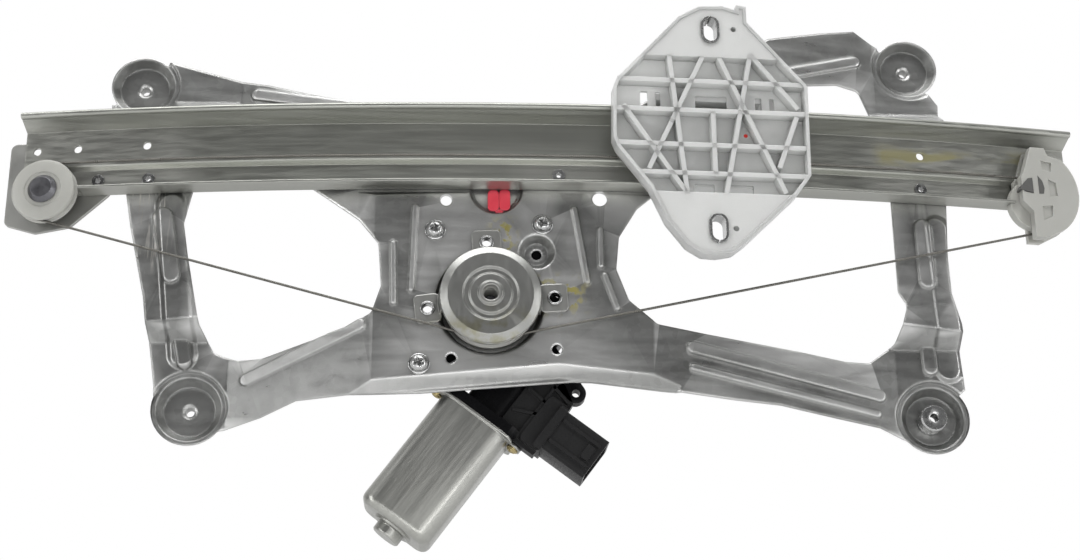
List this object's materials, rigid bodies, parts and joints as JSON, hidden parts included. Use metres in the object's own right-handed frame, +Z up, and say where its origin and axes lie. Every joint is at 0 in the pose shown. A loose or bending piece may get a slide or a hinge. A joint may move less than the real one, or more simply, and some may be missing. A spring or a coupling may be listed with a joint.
{
  "type": "window regulator",
  "caption": "Motor-driven cable window regulator: a pressed steel plate and curved rail, with a glass carrier that a worm-geared motor pulls along the rail by cable.",
  "frame": {"origin": "centre of the lower left door fixing, on the plane where the corner seats lie on the door panel", "axes": "+X along the rail to the right, +Y into the door panel, +Z up, as the part hangs in the picture"},
  "size_m": [0.6434, 0.0754, 0.3323],
  "materials": {
    "galvanised_steel": "bare galvanised sheet, dull grey with bright bend lines",
    "zinc_steel": "bright zinc plate",
    "white_moulding": "white acetal moulding",
    "clear_moulding": "milky translucent moulding",
    "black_rubber": "black rubber",
    "steel_cable": "stranded steel, lightly greased",
    "black_moulding": "black glass-filled moulding, fine grain",
    "pin_metal": "tinned brass",
    "grey_can": "plated deep-drawn steel, satin",
    "yellow_zinc": "yellow passivated screws",
    "ferrite": "sintered ferrite",
    "bronze": "oil-filled sintered bronze",
    "carbon": "pressed carbon",
    "red_moulding": "red moulding",
    "core_steel": "stacked electrical steel",
    "copper": "copper"
  },
  "bodies": {
    "frame": {"base_plate": "galvanised_steel", "threaded_collar": "zinc_steel", "rail": "galvanised_steel", "rail_rivets": "zinc_steel", "pulley_bracket": "galvanised_steel", "bracket_rivets": "zinc_steel", "pulley_rivet": "zinc_steel", "cable_guide": "white_moulding", "guide_bumper": "black_rubber", "left_cable": "steel_cable", "right_cable": "steel_cable", "drum_cover": "galvanised_steel", "cover_rivets": "zinc_steel", "wheel_post": "zinc_steel", "gear_housing": "black_moulding", "gear_cover": "black_moulding", "housing_seal": "black_rubber", "connector_pins": "pin_metal", "motor_screws": "zinc_steel", "motor_can": "grey_can", "can_screws": "yellow_zinc", "magnets": "ferrite", "front_bearing": "bronze", "rear_bearing": "bronze", "thrust_ball": "zinc_steel", "brush_holder": "black_moulding", "brushes": "carbon", "hole_plug": "red_moulding"},
    "carrier": {"glass_carrier": "clear_moulding", "upper_sleeve": "zinc_steel", "lower_sleeve": "zinc_steel", "cable_ferrules": "zinc_steel"},
    "drum": {"cable_drum": "white_moulding", "cable_wraps": "steel_cable", "worm_wheel": "white_moulding", "damper": "black_rubber", "output_hub": "white_moulding"},
    "armature": {"worm_shaft": "zinc_steel", "armature_core": "core_steel", "windings": "copper", "commutator": "copper"},
    "pulley": {"cable_pulley": "white_moulding"}
  },
  "joints": [
    {"name": "motor_turn", "type": "hinge", "parent": "frame", "child": "armature", "pos_m": [0.19762, -0.01, 0.03786], "axis": [-0.6, 0, -0.8], "range_deg": [-52491.3, 20894.6]},
    {"name": "drum_turn", "type": "hinge", "parent": "frame", "child": "drum", "pos_m": [0.1717, 0, 0.0573], "axis": [0, 1, 0], "range_deg": [-719.78, 286.51]},
    {"name": "carrier_travel", "type": "hinge", "parent": "frame", "child": "carrier", "pos_m": [0.211, 1.8616, 0.145], "axis": [0, 0, 1], "range_deg": [-9.36, 3.72]},
    {"name": "pulley_turn", "type": "hinge", "parent": "frame", "child": "pulley", "pos_m": [-0.08926, -0.02263, 0.1275], "axis": [0.1574, 0.9875, 0], "range_deg": [-1020, 406.02]}
  ],
  "couplings": [
    {"joint": "drum_turn", "follows": "motor_turn", "ratio": 0.013699},
    {"joint": "carrier_travel", "follows": "motor_turn", "ratio": 0.00017769},
    {"joint": "pulley_turn", "follows": "motor_turn", "ratio": 0.019374}
  ]
}
